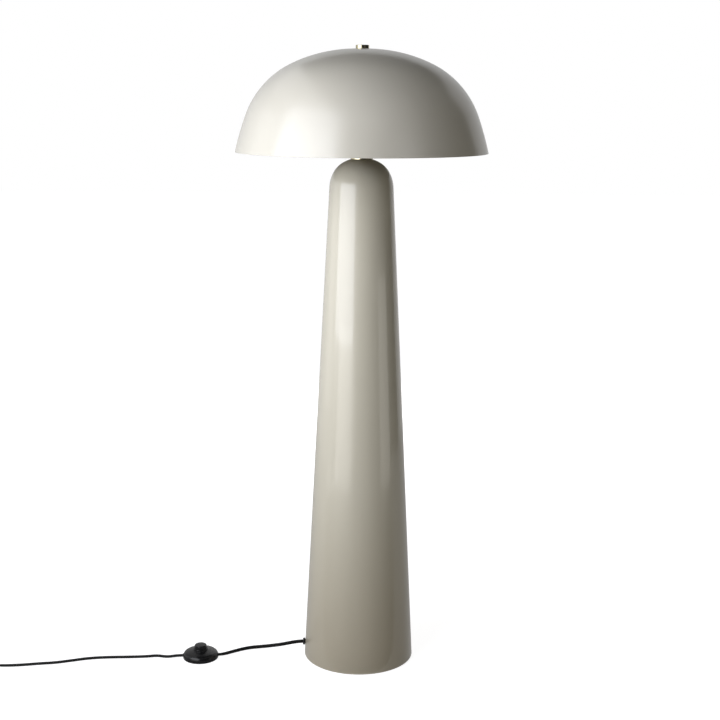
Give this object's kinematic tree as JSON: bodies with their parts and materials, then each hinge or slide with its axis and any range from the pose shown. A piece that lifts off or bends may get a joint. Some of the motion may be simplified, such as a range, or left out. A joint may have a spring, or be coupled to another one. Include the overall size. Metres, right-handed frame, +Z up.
{
  "type": "floor lamp",
  "caption": "Floor lamp with a tapered round-shouldered metal column, a mushroom-shaped metal shade on a harp, an inline foot switch and a coiled mains lead.",
  "frame": {"origin": "centre of the column's foot, on the floor", "axes": "+Z up along the column; -X towards the side that the cord leaves from; -Y towards the picture's viewer"},
  "size_m": [1.0622, 0.4598, 1.1626],
  "materials": {
    "lacquer": "satin warm grey lacquer",
    "finial_brass": "polished",
    "harp_brass": "plated, satin",
    "socket_brass": "pressed and bright",
    "zinc_steel": "zinc plated",
    "casting": "dipped black, as cast",
    "felt": "black felt",
    "cord_plastic": "satin black",
    "bushing_plastic": "moulded black",
    "switch_plastic": "moulded black, satin",
    "inner_plastic": "moulded, natural",
    "fibre": "pressed fibre tube",
    "phenolic": "moulded phenolic",
    "shell_metal": "rolled thread shell",
    "opal_glass": "opal white",
    "cap_metal": "rolled thread cap",
    "black_glass": "fused black glass",
    "solder": "solder dome",
    "spring_steel": "bright wire",
    "foot_rubber": "soft black",
    "blade_brass": "nickel washed",
    "tie_plastic": "black strap"
  },
  "bodies": {
    "root": {"column_shell": "lacquer", "neck_cup": "finial_brass", "cord_bushing": "bushing_plastic", "lamp_cord": "cord_plastic", "mains_cord": "cord_plastic", "inner_cord": "cord_plastic", "cord_coil": "cord_plastic", "cord_tie": "tie_plastic", "plug_relief": "cord_plastic", "plug_body": "switch_plastic", "plug_blades": "blade_brass", "switch_cover": "switch_plastic", "switch_base": "switch_plastic", "switch_carrier": "inner_plastic", "switch_terminals": "harp_brass", "switch_spring": "spring_steel", "switch_clamps": "inner_plastic", "switch_screws": "zinc_steel", "switch_feet": "foot_rubber", "base_weight": "casting", "base_ring": "zinc_steel", "base_screws": "zinc_steel", "base_pad": "felt", "top_nipple": "zinc_steel", "nipple_nut": "zinc_steel", "nipple_washer": "zinc_steel", "harp_saddle": "harp_brass", "harp_bow": "harp_brass", "socket_cap": "socket_brass", "socket_shell": "socket_brass", "socket_liner": "fibre", "socket_core": "phenolic", "socket_screw_shell": "shell_metal", "socket_contact": "harp_brass", "socket_terminals": "harp_brass"},
    "harp_sleeve_left": {"harp_sleeve_left": "harp_brass"},
    "harp_sleeve_right": {"harp_sleeve_right": "harp_brass"},
    "bulb": {"bulb_glass": "opal_glass", "bulb_cap": "cap_metal", "bulb_insulator": "black_glass", "bulb_tip": "solder"},
    "shade": {"shade_shell": "lacquer", "swivel_stud": "harp_brass"},
    "finial": {"finial": "finial_brass"},
    "switch_button": {"switch_button": "switch_plastic"}
  },
  "joints": [
    {"name": "shade_swivel", "type": "hinge", "parent": "root", "child": "shade", "pos_m": [0, 0, 1.15], "axis": [0, 0, 1], "continuous": true},
    {"name": "finial_turn", "type": "hinge", "parent": "shade", "child": "finial", "pos_m": [0, 0, 1.159], "axis": [0, 0, 1], "range_deg": [0, 1080]},
    {"name": "bulb_turn", "type": "hinge", "parent": "root", "child": "bulb", "pos_m": [0, 0, 1.03], "axis": [0, 0, 1], "range_deg": [0, 1080]},
    {"name": "sleeve_left_slide", "type": "slide", "parent": "root", "child": "harp_sleeve_left", "axis": [0, 0, 1], "range_m": [0, 0.012]},
    {"name": "sleeve_right_slide", "type": "slide", "parent": "root", "child": "harp_sleeve_right", "axis": [0, 0, 1], "range_m": [0, 0.012]},
    {"name": "button_press", "type": "slide", "parent": "root", "child": "switch_button", "axis": [0, 0, -1], "range_m": [0, 0.004], "stiffness_N_per_m": 1200, "springref_m": -0.002, "deforming": ["switch_spring"]}
  ]
}
